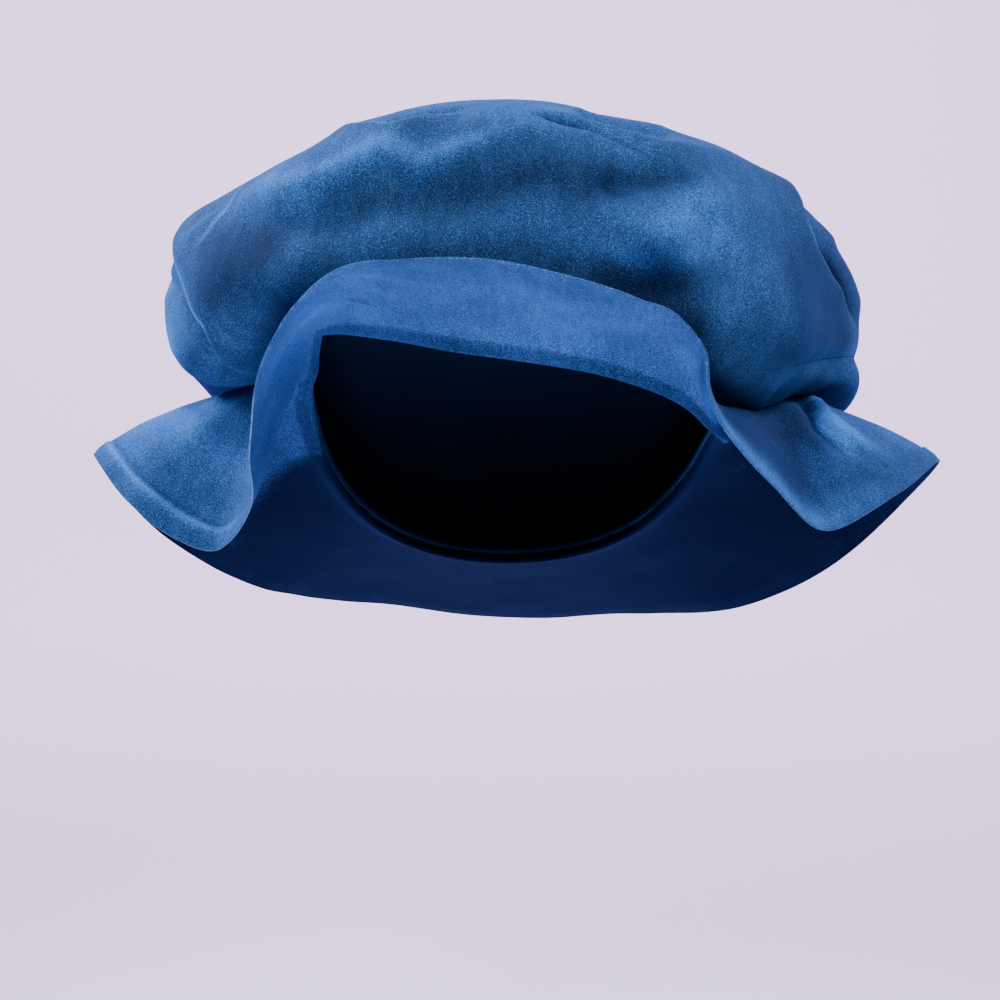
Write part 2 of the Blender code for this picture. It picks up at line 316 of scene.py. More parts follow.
def linear(hex_colour: str) -> tuple[float, float, float, float]:
    """Turns an sRGB colour into linear values.

    Args:
        hex_colour: the colour, such as #2a5290.

    Returns:
        Red, green and blue from 0 to 1, and full alpha.
    """
    parts = (int(hex_colour[i : i + 2], 16) / 255.0 for i in (1, 3, 5))
    red, green, blue = (
        c / 12.92 if c <= 0.04045 else ((c + 0.055) / 1.055) ** 2.4 for c in parts
    )
    return red, green, blue, 1.0


def turn_apart(first: np.ndarray, second: float) -> np.ndarray:
    """The smallest turn from the second bearing to the first, in degrees."""
    return (np.asarray(first) - second + 180.0) % 360.0 - 180.0


def around(points: tuple, name: str, wanted: np.ndarray) -> np.ndarray:
    """A smooth closed curve through one column of a table.

    Args:
        points: table rows with a bearing each.
        name: the column.
        wanted: bearings to read it at, in degrees.

    Returns:
        The column's value at each wanted bearing.
    """
    rows = sorted(points)
    knots = np.array([row.bearing for row in rows], float)
    values = np.array([getattr(row, name) for row in rows], float)
    knots = np.concatenate([knots[-2:] - 360.0, knots, knots[:2] + 360.0])
    values = np.concatenate([values[-2:], values, values[:2]])
    slopes = np.gradient(values, knots)
    turned = (np.asarray(wanted, float) - knots[1]) % 360.0 + knots[1]
    place = np.clip(np.searchsorted(knots, turned, side="right") - 1, 1, len(knots) - 2)
    span = knots[place + 1] - knots[place]
    part = (turned - knots[place]) / span
    one = 2 * part**3 - 3 * part**2 + 1
    two = part**3 - 2 * part**2 + part
    three = 3 * part**2 - 2 * part**3
    four = part**3 - part**2
    ends = one * values[place] + three * values[place + 1]
    return ends + span * (two * slopes[place] + four * slopes[place + 1])


def normals(sheet: np.ndarray, out: np.ndarray) -> np.ndarray:
    """Works out which way a sheet faces.

    Args:
        sheet: points as columns and rows, closed around the columns.
        out: the direction to which it faces on the whole.

    Returns:
        The unit normal at each point.
    """
    step = np.roll(sheet, -1, 0) - np.roll(sheet, 1, 0)
    cross = np.cross(step, np.gradient(sheet, axis=1))
    away = cross / np.maximum(np.linalg.norm(cross, axis=-1, keepdims=True), 1e-9)
    return -away if (away @ out).mean() < 0.0 else away


def fold_field(
    folds: tuple[Fold, ...],
    bearings: np.ndarray,
    shares: np.ndarray,
    girth: np.ndarray,
    run: float,
) -> np.ndarray:
    """How far folds move a sheet outwards.

    Args:
        folds: the folds.
        bearings: bearing of each point, in degrees.
        shares: share of the way from the seam of each point.
        girth: mm for each radian of bearing at each point.
        run: length from share 0 to share 1, in mm.

    Returns:
        The move outwards of each point, in mm.
    """
    moved = np.zeros(np.broadcast(bearings, shares).shape)
    for fold in folds:
        best = np.full(moved.shape, 1e9)
        side = np.zeros(moved.shape)
        total = len(fold.path) - 1
        fade = np.ones(moved.shape)
        for number in range(total):
            (from_bearing, from_share), (to_bearing, to_share) = fold.path[number : number + 2]
            ahead = np.radians(turn_apart(bearings, from_bearing)) * girth
            along = (shares - from_share) * run
            turned = math.radians(float(turn_apart(to_bearing, from_bearing)))
            run_x = turned * girth
            run_y = (to_share - from_share) * run
            length2 = run_x**2 + run_y**2 + 1e-6
            share = np.clip((ahead * run_x + along * run_y) / length2, 0.0, 1.0)
            off_x = ahead - share * run_x
            off_y = along - share * run_y
            away = np.hypot(off_x, off_y)
            nearer = away < best
            best = np.where(nearer, away, best)
            cross = run_x * along - run_y * ahead
            side = np.where(nearer, np.sign(cross), side)
            place = (number + share) / total
            ends = np.clip(np.minimum(place, 1.0 - place) / 0.2, 0.0, 1.0)
            fade = np.where(nearer, 0.25 + 0.75 * ends, fade)
        moved -= fold.press * fade * np.exp(-((best / fold.width) ** 2))
        if fold.step:
            ends_fade = np.clip((fade - 0.25) / 0.75, 0.0, 1.0)
            bank = np.tanh(best / fold.width) * np.exp(-((best / fold.reach) ** 2))
            moved += fold.step * 0.5 * side * bank * ends_fade
    return moved


def rounded_edge(
    line: np.ndarray,
    away: np.ndarray,
    ahead: np.ndarray,
    half: float,
    rows: int,
    flatness: float = 1.0,
) -> np.ndarray:
    """Rounds the edge of a cloth over, from one of its sides to the other.

    Args:
        line: the middle of the cloth at the edge, in mm.
        away: the unit normals there, out of the side to start from.
        ahead: points from the cloth over the edge.
        half: half the cloth's thickness, in mm.
        rows: how many rows of points.
        flatness: how far the edge stands out, as a share of half.

    Returns:
        The edge's points, as columns and rows.
    """
    ahead = ahead / np.linalg.norm(ahead, axis=-1, keepdims=True) * flatness
    turns = np.linspace(0.0, math.pi, rows + 2)[1:-1]
    return np.stack([line + half * (math.cos(a) * away + math.sin(a) * ahead) for a in turns], 1)


@dataclass(frozen=True)
class Opening:
    """The head opening: an oval in a plane that leans back, and the seam that rides on it."""

    half_width: float = 79.0
    half_depth: float = 96.0
    squareness: float = 2.25
    lean_deg: float = 33.0

    def axes(self) -> tuple[np.ndarray, np.ndarray, np.ndarray]:
        """Works out the directions of the opening's plane.

        Returns:
            Unit vectors across, towards the back in the plane, and out through the crown.
        """
        lean = math.radians(self.lean_deg)
        across = np.array([1.0, 0.0, 0.0])
        back = np.array([0.0, math.cos(lean), -math.sin(lean)])
        out = np.array([0.0, math.sin(lean), math.cos(lean)])
        return across, back, out

    def reach(self, bearings: np.ndarray) -> np.ndarray:
        """How far the seam is from the opening's centre.

        Args:
            bearings: in degrees.

        Returns:
            The reach at each bearing, in mm.
        """
        turned = np.radians(bearings)
        wide = np.abs(np.sin(turned) / self.half_width) ** self.squareness
        deep = np.abs(np.cos(turned) / self.half_depth) ** self.squareness
        return (wide + deep) ** (-1.0 / self.squareness)

    def in_plane(self, bearings: np.ndarray, reach: np.ndarray, rise: np.ndarray) -> np.ndarray:
        """Places points over the opening's plane.

        Args:
            bearings: in degrees.
            reach: how far each point is from the centre, in mm.
            rise: how high it is over the plane, in mm.

        Returns:
            The points, in mm.
        """
        across, back, out = self.axes()
        turned = np.radians(bearings)
        sideways = (reach * np.sin(turned))[..., None] * across
        lengthways = (-reach * np.cos(turned))[..., None] * back
        return sideways + lengthways + np.asarray(rise)[..., None] * out

    def seam(self, bearings: np.ndarray) -> np.ndarray:
        """The head seam, in mm."""
        return self.in_plane(bearings, self.reach(bearings), around(SEAM_POINTS, "rise", bearings))


def ripple(points: np.ndarray, size: float, depth: float, shift: float) -> np.ndarray:
    """Smooth random undulation of a sheet.

    Args:
        points: places in mm, in an array of columns and rows.
        size: width of a wave, in mm.
        depth: most it moves a point, in mm.
        shift: moves the pattern, so that two calls differ.

    Returns:
        The move of each point, in mm.
    """
    flat = points.reshape(-1, 3) / size + shift
    moved = np.array([noise.noise(Vector(place)) for place in flat])
    return moved.reshape(points.shape[:2]) * depth * 1.6


def closed_mesh(
    name: str, loops: np.ndarray, values: dict[str, np.ndarray], capped: bool = False
) -> bpy.types.Object:
    """Makes a mesh object of a sheet of points closed around its columns.

    Args:
        name: the object's name.
        loops: points in mm, columns by rows. Where it isn't capped the rows close too, so
            that each column is one closed line.
        values: for each attribute, a number or a vector for each point.
        capped: whether the first and the last row each stand for one point.

    Returns:
        The object, smooth shaded.
    """
    columns, rows = loops.shape[:2]
    points = [tuple(p) for p in (loops * MM).reshape(-1, 3)]
    faces = []
    for i in range(columns):
        k = (i + 1) % columns
        for j in range(rows - 1 if capped else rows):
            m = (j + 1) % rows
            faces.append((i * rows + j, k * rows + j, k * rows + m, i * rows + m))
    data = bpy.data.meshes.new(name)
    data.from_pydata(points, [], faces)
    for key, grid in values.items():
        vector = grid.ndim == 3
        layer = data.attributes.new(key, "FLOAT_VECTOR" if vector else "FLOAT", "POINT")
        numbers = np.ascontiguousarray(grid, np.float32).ravel()
        layer.data.foreach_set("vector" if vector else "value", numbers)
    work = bmesh.new()
    work.from_mesh(data)
    if capped:
        work.verts.ensure_lookup_table()
        rings = [[work.verts[i * rows + row] for i in range(columns)] for row in (0, rows - 1)]
        for ring in rings:
            bmesh.ops.pointmerge(work, verts=ring, merge_co=ring[0].co)
    bmesh.ops.recalc_face_normals(work, faces=work.faces)
    work.to_mesh(data)
    work.free()
    data.polygons.foreach_set("use_smooth", [True] * len(data.polygons))
    made = bpy.data.objects.new(name, data)
    bpy.context.scene.collection.objects.link(made)
    return made


def smooth_step(values: np.ndarray, low: float, high: float) -> np.ndarray:
    """0 below low, 1 above high, and a smooth rise between them."""
    part = np.clip((values - low) / (high - low), 0.0, 1.0)
    return part * part * (3.0 - 2.0 * part)


@dataclass(frozen=True)
class Velvet:
    """Short-pile cotton velvet: deep where it faces the eye, pale where it is seen along it.

    Its pile lies this way and that in patches, with light and shade painted over them from the
    nap attribute; single tufts carry painted glints, stronger where its tone is lighter; and the
    wrong side of the cloth is a plain weave, drawn dark, partly as painted shade for the inside
    of the crown. The tufts are drawn 0.6 mm wide, about twice their real size, so that they
    show in a picture of the whole cap.
    """

    name: str
    deep: str
    middle: str
    bright: str = "#2f68b8"
    sheen: float = 0.28
    sheen_hex: str = "#2f6fdc"
    # The wrong side is drawn dark, partly as painted shade for the inside of the crown; the pale
    # blue is the colour of the painted glints and of the hem's painted highlight with its rub
    shaded_wrong_side: str = "#101c36"
    highlight_and_rub: str = "#8fb0e0"
    tuft_mm: float = 0.6
    tuft_amount: float = 1.3
    stroke_mm: float = 5.0
    stroke_amount: float = 0.34
    patch_mm: float = 42.0
    patch_amount: float = 0.62
    darkest: float = 0.68
    lightest: float = 1.58
    glint_amount: float = 0.45

    @staticmethod
    def grain(
        tree: bpy.types.NodeTree,
        place: bpy.types.NodeSocket,
        size_mm: float,
        detail: float,
        roughness: float = 0.5,
        distortion: float = 0.0,
    ) -> bpy.types.NodeSocket:
        """Adds random grain of one size.

        Args:
            tree: the material's node tree.
            place: the socket that gives the place on the cloth, in metres.
            size_mm: size of the grain.
            detail: how many finer sizes are in it.
            roughness: how strong these are.
            distortion: how far the grain is twisted.

        Returns:
            The socket with its value, from 0 to 1.
        """
        settings = {"Scale": 1.0 / (size_mm * MM), "Detail": detail}
        settings |= {"Roughness": roughness, "Distortion": distortion}
        return add_node(tree, "ShaderNodeTexNoise", settings, {"Vector": place}).outputs["Fac"]

    def shading(self, tree: bpy.types.NodeTree) -> tuple[bpy.types.Node, ...]:
        """Adds the pile's tone: random patches, strokes and tufts over the light and shade painted
        in the nap attribute.

        Args:
            tree: the material's node tree.

        Returns:
            The nodes that give the tone from 0 to 1, the height, and the tufts' painted glints.
        """
        place = add_node(tree, "ShaderNodeTexCoord").outputs["Object"]
        painted_shading = add_node(tree, "ShaderNodeAttribute", {"attribute_name": "painted_shading"})
        lay = add_node(tree, "ShaderNodeAttribute", {"attribute_name": "lay"})
        tufts = self.grain(tree, place, self.tuft_mm, 2.0, 0.7)
        patches = self.grain(tree, place, self.patch_mm, 4.0, distortion=0.4)
        strokes = self.grain(tree, lay.outputs["Vector"], self.stroke_mm, 4.0, 0.65)
        level = painted_shading.outputs["Fac"]
        amounts = (
            (patches, self.patch_amount),
            (strokes, self.stroke_amount),
            (tufts, self.tuft_amount),
        )
        for source, amount in amounts:
            settings = {"operation": "MULTIPLY_ADD", 1: amount}
            level = add_node(tree, "ShaderNodeMath", settings, {0: source, 2: level}).outputs[0]
        settings = {"From Min": self.darkest, "From Max": self.lightest}
        shade = add_node(tree, "ShaderNodeMapRange", settings, {"Value": level})
        settings = {"operation": "MULTIPLY_ADD", 1: 0.35}
        height = add_node(tree, "ShaderNodeMath", settings, {0: strokes, 2: tufts})
        # Painted glints: sparse tufts turn pale, more where the tone is lighter
        glints = {"Value": self.grain(tree, place, self.tuft_mm / 1.5, 0.0)}
        settings = {"From Min": 0.55, "From Max": 0.85, "To Max": self.glint_amount}
        sparse = add_node(tree, "ShaderNodeMapRange", settings, glints)
        both = {0: sparse.outputs["Result"], 1: shade.outputs["Result"]}
        painted_glints = add_node(tree, "ShaderNodeMath", {"operation": "MULTIPLY"}, both)
        return shade, height, painted_glints

    def material(self) -> bpy.types.Material:
        """Makes the material.

        Returns:
            The material. It reads the attributes nap (painted light and shade), worn (a painted
            highlight with a faint rub along the hem's edge), lay and inside of its piece.
        """
        made = bpy.data.materials.new(self.name)
        made.use_nodes = True
        tree = made.node_tree
        shader = tree.nodes["Principled BSDF"]
        shade, height, painted_glints = self.shading(tree)
        ramp = add_node(tree, "ShaderNodeValToRGB", None, {"Fac": shade.outputs["Result"]})
        ramp.color_ramp.elements[0].color = linear(self.deep)
        ramp.color_ramp.elements[1].color = linear(self.bright)
        ramp.color_ramp.elements.new(0.5).color = linear(self.middle)
        colour = ramp.outputs["Color"]
        hem_highlight_and_rub = add_node(tree, "ShaderNodeAttribute", {"attribute_name": "hem_highlight_and_rub"}).outputs["Fac"]
        inside = add_node(tree, "ShaderNodeAttribute", {"attribute_name": "inside"}).outputs["Fac"]
        # Painted glints and the hem's painted highlight with its faint rub pale the colour; the
        # wrong side darkens it, partly as painted shade
        layers = (
            (painted_glints.outputs[0], self.highlight_and_rub),
            (hem_highlight_and_rub, self.highlight_and_rub),
            (inside, self.shaded_wrong_side),
        )
        for amount, hex_colour in layers:
            settings = {"data_type": "RGBA", 7: linear(hex_colour)}
            mixed = add_node(tree, "ShaderNodeMix", settings, {0: amount, 6: colour})
            colour = mixed.outputs[2]
        tree.links.new(colour, shader.inputs["Base Color"])
        settings = {"Strength": 0.6, "Distance": 0.7 * MM}
        bump = add_node(tree, "ShaderNodeBump", settings, {"Height": height.outputs[0]})
        tree.links.new(bump.outputs["Normal"], shader.inputs["Normal"])
        gloss = {
            "Roughness": 0.9,
            "Specular IOR Level": 0.05,
            "Specular Tint": linear(self.sheen_hex),
            "Sheen Weight": self.sheen,
            "Sheen Roughness": 0.4,
            "Sheen Tint": linear(self.sheen_hex),
        }
        for name, value in gloss.items():
            shader.inputs[name].default_value = value
        return made


class Blues(Enum):
    """The finishes of the cap."""

    CROWN = Velvet("crown_velvet", "#101c36", "#1c3a67")
    UNDER = Velvet("crown_under_velvet", "#101c36", "#1c3a67")
    # The brim's deep tone is darker than the crown's, for the painted shade on its underside at the
    # back
    BRIM = Velvet("brim_velvet", "#050f2d", "#1a3b6f")


@dataclass
class Brim:
    """The wide brim: velvet on both sides, turned in at the hem, which shows as a low band."""

    opening: Opening
    width: float = 92.0
    half_thickness: float = 1.15
    hem_half_thickness: float = 0.42
    columns_per_station: int = 12
    hem_band: float = 6.8
    hem_band_rise: float = 0.8
    seam_roll: float = 2.5
    hem_round: int = 5
    # How much darker the painted shade makes the underside at the back, and the strip along its
    # inner edge where the brim meets the head
    painted_back_shade: float = 0.60
    painted_strip_shade: float = 0.24
    bearings: np.ndarray = field(init=False)
    shares: np.ndarray = field(init=False)
    sheet: np.ndarray = field(init=False)
    away: np.ndarray = field(init=False)

    def __post_init__(self) -> None:
        """Works out the middle of the cloth."""
        at = np.sort(np.array([row.bearing for row in HEM_POINTS], float))
        ends = np.append(at, at[0] + 360.0)
        steps = np.arange(len(at) * self.columns_per_station) / self.columns_per_station
        self.bearings = np.interp(steps, np.arange(len(ends)), ends)
        # Rows in mm from the hem, close together at its band and at the seam
        near_hem = np.array(
            [0, 0.7, 1.6, 2.8, 4.0, 5.0, 5.7, 6.1, 6.5, 6.9, 7.3, 8.0, 9.2, 11.0, 13.5]
        )
        rest = np.linspace(16.5, 86.0, 26)
        near_seam = np.array([88.0, 90.0, 91.3, 92.0])
        self.shares = 1.0 - np.concatenate([near_hem, rest, near_seam])[::-1] / self.width
        names = ("across", "depth", "height")
        hem = np.stack([around(HEM_POINTS, name, self.bearings) for name in names], -1)
        arch = around(HEM_POINTS, "arch", self.bearings)[:, None, None]
        seam = self.opening.seam(self.bearings)
        share = self.shares[None, :, None]
        lift = 4.0 * share * (1.0 - share) * (1.25 - 0.5 * share)
        out = self.opening.axes()[2]
        sheet = seam[:, None, :] * (1.0 - share) + hem[:, None, :] * share + lift * arch * out
        away = normals(sheet, out)
        moved = self.along_paths(BRIM_FOLDS)
        soft = smooth_step(self.shares, 0.0, 0.3)[None, :]
        moved += ripple(sheet, 46.0, 0.8, 3.7) * soft
        moved += ripple(sheet, 17.0, 0.3, 9.1) * soft
        moved -= self.seam_roll * np.exp(-((self.shares[None, :] * self.width / 7.0) ** 2))
        self.sheet = sheet + moved[..., None] * away
        self.away = normals(self.sheet, out)

    def along_paths(self, folds: tuple[Fold, ...]) -> np.ndarray:
        """How far folds move each point of the brim, or how dark the painted light and shade make
        its pile.
        """
        girth = self.opening.reach(self.bearings)[:, None] + 60.0 * self.shares[None, :]
        return fold_field(folds, self.bearings[:, None], self.shares[None, :], girth, self.width)

    def thickness(self) -> np.ndarray:
        """Half the cloth's thickness at each row: thinner towards the hem."""
        grown = smooth_step((1.0 - self.shares) * self.width, -1.0, 9.0)
        return self.hem_half_thickness + (self.half_thickness - self.hem_half_thickness) * grown

    def band(self) -> np.ndarray:
        """Shapes the low band that the turned hem makes on the upper side.

        Returns:
            How far it stands up at each point, in mm. There is none along the front.
        """
        from_hem = (1.0 - self.shares) * self.width
        rise = 1.0 - smooth_step(from_hem, self.hem_band - 0.4, self.hem_band + 0.5)
        rise = rise * smooth_step(from_hem, 0.0, 2.5)
        places = smooth_step(np.abs(self.bearings), 80.0, 90.0)
        right = places * smooth_step(self.bearings, 88.0, 98.0)
        places = np.where(self.bearings > 0.0, right, places)
        return self.hem_band_rise * places[:, None] * rise[None, :]

    def build(self) -> bpy.types.Object:
        """Makes the brim's mesh and dresses it.

        Returns:
            The brim, a closed mesh.
        """
        half = self.thickness()
        top = self.sheet + (half[None, :] + self.band())[..., None] * self.away
        under = self.sheet - half[None, :, None] * self.away
        hem, seam = self.sheet[:, -1], self.sheet[:, 0]
        over_hem, over_seam = hem - self.sheet[:, -2], seam - self.sheet[:, 1]
        outer = rounded_edge(hem, self.away[:, -1], over_hem, half[-1], self.hem_round)
        inner = rounded_edge(seam, -self.away[:, 0], over_seam, half[0], self.hem_round)
        loops = np.concatenate([top, outer, under[:, ::-1], inner], 1)
        made = closed_mesh("brim_cloth", loops, self.values())
        made.data.materials.append(Blues.BRIM.value.material())
        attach(made, "root")
        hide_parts("brim")
        return made

    def values(self) -> dict[str, np.ndarray]:
        """What the velvet needs to know of each point of the brim.

        Returns:
            The light and shade painted on its pile, the painted highlight and faint rub along the
            hem's edge, and which way the pile lies.
        """
        extra = self.hem_round
        # Light and shade painted on the pile of each side, along the listed paths
        top = self.along_paths(BRIM_TOP_PAINTED_LIGHT)
        under = self.along_paths(BRIM_UNDER_PAINTED_LIGHT)
        # Painted shade: the underside at the back, which lies in the cap's shadow, goes darker
        left = smooth_step(-self.bearings[:, None] - 8.0 * self.shares[None, :], 114.5, 119.5)
        low = smooth_step(-self.bearings, 96.0, 104.0)[:, None]
        left = np.maximum(left, smooth_step(self.shares, 0.78, 0.86)[None, :] * low)
        right = smooth_step(self.bearings, 84.0, 104.0)[:, None] + 0.0 * self.shares[None, :]
        under = under - self.painted_back_shade * np.where(self.bearings[:, None] > 0.0, right, left)
        # Painted shade: a strip along the inner edge, where the brim meets the head, goes darker
        strip = 1.0 - smooth_step(self.shares * self.width, 5.5, 9.0)
        under = under - self.painted_strip_shade * strip[None, :]
        hem = np.repeat((0.5 * (top + under))[:, -1:], extra, 1)
        inner = np.repeat(under[:, :1], extra, 1)
        painted_shading = np.concatenate([top, hem, under[:, ::-1], inner], 1)
        shares = np.concatenate([self.shares, np.ones(extra), self.shares[::-1], np.zeros(extra)])
        shares = shares[None, :] + 0.0 * painted_shading
        middle = len(self.shares) + (extra - 1) / 2.0
        edge = np.clip(1.0 - np.abs(np.arange(shares.shape[1]) - middle) / 2.0, 0.0, 1.0)[None, :]
        # Painted highlight along the hem's edge, strongest on the two wings, over a faint rub all
        # round
        left_wing = smooth_step(-self.bearings, 62.0, 68.0)
        left_wing *= 1.0 - smooth_step(-self.bearings, 92.0, 102.0)
        right_wing = smooth_step(self.bearings, 82.0, 90.0)
        right_wing *= 1.0 - smooth_step(self.bearings, 104.0, 112.0)
        uneven = 0.7 + 0.3 * np.sin(self.bearings * 7.3) * np.sin(self.bearings * 2.9 + 1.0)
        hem_highlight_and_rub = ((0.04 + 0.55 * left_wing + 0.45 * right_wing) * uneven)[:, None] * edge
        turned = np.radians(self.bearings)[:, None] + 0.0 * shares
        lay = np.stack([0.14 * np.cos(turned), 0.14 * np.sin(turned), 0.03 * shares], -1)
        return {"painted_shading": painted_shading, "hem_highlight_and_rub": hem_highlight_and_rub, "lay": lay, "inside": 0.0 * shares}


@dataclass
class Crown:
    """The puffed crown: a top piece and an under piece, seamed together and to the brim."""

    opening: Opening
    brim: Brim
    top_height: float = 118.0
    top_set_back: float = 4.0
    half_thickness: float = 0.9
    columns: int = 500
    under_rows: int = 46
    top_rows: int = 130
    inner_step: int = 3
    profile_steps: int = 80
    run: float = 250.0
    seam_press: float = 0.06
    edge_flatness: float = 0.35
    gather_count: int = 58
    gather_depth: float = 1.6
    edge_round: int = 4

    def profile(self, bearings: np.ndarray) -> tuple[np.ndarray, np.ndarray]:
        """Works out the line from the seam to the top at each bearing.

        Args:
            bearings: in degrees.

        Returns:
            The reaches and the rises along each line, in mm.
        """
        names = ("reach", "height", "fullness", "sag_to")
        reach, height, full, sag_to = (
            around(CROWN_SECTIONS, name, bearings)[:, None] for name in names
        )
        start_reach = self.opening.reach(bearings)[:, None]
        start_rise = around(SEAM_POINTS, "rise", bearings)[:, None] + 2.2
        share = np.linspace(0.0, 1.0, self.profile_steps)[None, :]
        sagging = 3.0 * share * (1.0 - share)
        middle_reach = start_reach * 0.4 + reach * 0.6
        under_reach = (1.0 - share) ** 3 * start_reach + sagging * (1.0 - share) * middle_reach
        under_reach = under_reach + (sagging * share + share**3) * reach
        under_rise = (1.0 - share) ** 3 * start_rise + sagging * sag_to + share**3 * height
        turned = np.linspace(0.0, math.pi / 2.0, self.profile_steps)[None, 1:]
        over_reach = reach * np.cos(turned) ** (2.0 / full)
        over_rise = height + (self.top_height - height) * np.sin(turned) ** (2.0 / full)
        over_reach[:, -1] = 0.0
        return (
            np.concatenate([under_reach, over_reach], 1),
            np.concatenate([under_rise, over_rise], 1),
        )

    def sheet(self) -> tuple[np.ndarray, np.ndarray]:
        """The middle of the crown's cloth.

        Returns:
            Its points in mm as columns and rows, and the light and shade painted on its pile at
            each.
        """
        bearings = np.arange(self.columns) * 360.0 / self.columns - 180.0
        fine_reach, fine_rise = self.profile(bearings)
        steps = np.hypot(np.diff(fine_reach, axis=1), np.diff(fine_rise, axis=1))
        along = np.concatenate([np.zeros((self.columns, 1)), np.cumsum(steps, 1)], 1)
        joined = around(CROWN_SECTIONS, "under", bearings)[:, None]
        below = np.linspace(0.0, 1.0, self.under_rows)[None, :]
        above = np.linspace(0.0, 1.0, self.top_rows)[None, 1:]
        above = above - 0.06 * np.sin(math.pi * above)
        places = np.concatenate([joined * below, joined + (along[:, -1:] - joined) * above], 1)
        reaches = np.array([np.interp(*trio) for trio in zip(places, along, fine_reach)])
        rises = np.array([np.interp(*trio) for trio in zip(places, along, fine_rise)])
        shares = places / along[:, -1:]
        grown = smooth_step(shares, 0.0, 0.12) * (1.0 - smooth_step(shares, 0.8, 1.0))
        wide = bearings[:, None] + 0.0 * reaches
        moved = fold_field(CROWN_FOLDS, wide, shares, reaches, self.run) * grown
        flat = self.opening.in_plane(wide, reaches, rises)
        near_top = 1.0 - 0.8 * smooth_step(shares, 0.85, 1.0)
        moved += ripple(flat, 62.0, 2.2, 1.3) * grown
        moved += ripple(flat, 24.0, 0.9, 5.9) * smooth_step(shares, 0.0, 0.2) * near_top
        moved += self.gathers(bearings, shares)
        from_seam = (places - joined) / 3.2
        pucker = 0.7 + 0.3 * np.sin(np.radians(wide) * 96.0)
        dip = around(CROWN_SECTIONS, "dip", bearings)[:, None] * pucker
        moved -= dip * np.exp(-(from_seam**2)) * smooth_step(places, 6.0, 20.0)
        # Light and shade painted on the pile, along the listed paths
        painted_shading = fold_field(CROWN_PAINTED_LIGHT, wide, shares, reaches, self.run)
        outward = np.gradient(reaches, axis=1)
        upward = np.gradient(rises, axis=1)
        length = np.maximum(np.hypot(outward, upward), 1e-9)
        reaches = reaches + moved * upward / length
        rises = rises - moved * outward / length
        reaches[:, -1] = 0.0
        rises[:, -1] = rises[:, -1].mean()
        sheet = self.opening.in_plane(wide, reaches, rises)
        set_back = (shares**2)[..., None] * self.top_set_back * self.opening.axes()[1]
        return sheet + set_back, painted_shading

    def gathers(self, bearings: np.ndarray, shares: np.ndarray) -> np.ndarray:
        """Makes the small gathers where the full cloth is drawn into the head seam.

        Args:
            bearings: of the columns, in degrees.
            shares: share of the way from the seam of each point.

        Returns:
            How far each point stands out, in mm.
        """
        turned = np.radians(bearings)
        phase = self.gather_count * turned + 1.7 * np.sin(3.0 * turned) + 1.1 * np.sin(7.0 * turned)
        wave = np.cos(phase) * (0.7 + 0.3 * np.sin(5.0 * turned + 0.6))
        fade = smooth_step(shares, 0.0, 0.03) * np.exp(-((shares / 0.065) ** 2))
        return self.gather_depth * wave[:, None] * fade

    def clear_of_brim(self, sheet: np.ndarray) -> np.ndarray:
        """Moves the crown's cloth off the brim's upper side wherever it would sink in.

        Args:
            sheet: the middle of the crown's cloth, in mm.

        Returns:
            The sheet, clear of the brim.
        """
        columns, rows = self.brim.sheet.shape[:2]
        points = [Vector(point) for point in self.brim.sheet.reshape(-1, 3)]
        faces = []
        for i in range(columns):
            k = (i + 1) % columns
            for j in range(rows - 1):
                faces.append((i * rows + j, k * rows + j, k * rows + j + 1, i * rows + j + 1))
        tree = BVHTree.FromPolygons(points, faces)
        out = Vector(self.opening.axes()[2])
        distance = self.half_thickness + self.brim.half_thickness + 0.25
        moved = sheet.copy()
        for i in range(sheet.shape[0]):
            for j in range(1, self.under_rows + 30):
                for _ in range(3):
                    point = Vector(moved[i, j])
                    near, normal, _, away = tree.find_nearest(point)
                    if normal.dot(out) < 0.0:
                        normal = -normal
                    side = (point - near).dot(normal)
                    if side >= distance or (away > distance and side > 0.0) or away > 40.0:
                        break
                    moved[i, j] = point + normal * (distance - side)
        return moved

    def rounded(self, line: np.ndarray, away: np.ndarray, ahead: np.ndarray) -> np.ndarray:
        """The round edge of the cloth along a line, from its outer side to its inner side."""
        flatness = self.edge_flatness
        return rounded_edge(line, away, ahead, self.half_thickness, self.edge_round, flatness)

    def sides(
        self, sheet: np.ndarray, away: np.ndarray, seam: int, beside: int
    ) -> tuple[np.ndarray, np.ndarray, np.ndarray]:
        """Draws a piece in to its seam with the other piece, and gives its cloth two sides.

        Args:
            sheet: the middle of its cloth, in mm.
            away: the unit normals, out of the crown.
            seam: the row at the seam.
            beside: the row next to it.

        Returns:
            The outer side, the inner side, and the round edge at the seam.
        """
        step = sheet[:, seam] - sheet[:, beside]
        step /= np.linalg.norm(step, axis=-1, keepdims=True)
        sheet[:, seam] -= step * (self.half_thickness * self.edge_flatness - self.seam_press)
        outer = sheet + self.half_thickness * away
        inner = self.thinned(sheet - self.half_thickness * away)
        return outer, inner, self.rounded(sheet[:, seam], away[:, seam], step)

    def build(self) -> list[bpy.types.Object]:
        """Makes the crown's two pieces and dresses them.

        Returns:
            The top piece and the under piece, each a closed mesh.
        """
        sheet, painted_shading = self.sheet()
        sheet = self.clear_of_brim(sheet)
        away = normals(sheet, self.opening.axes()[2])
        away[:, -1] = away[:, -2].mean(0)
        away[:, -1] /= np.linalg.norm(away[:, -1], axis=-1, keepdims=True)
        above = slice(self.under_rows - 1, None)
        below = slice(None, self.under_rows)
        return [
            self.top_piece(sheet[:, above].copy(), away[:, above], painted_shading[:, above]),
            self.under_piece(sheet[:, below].copy(), away[:, below], painted_shading[:, below]),
        ]

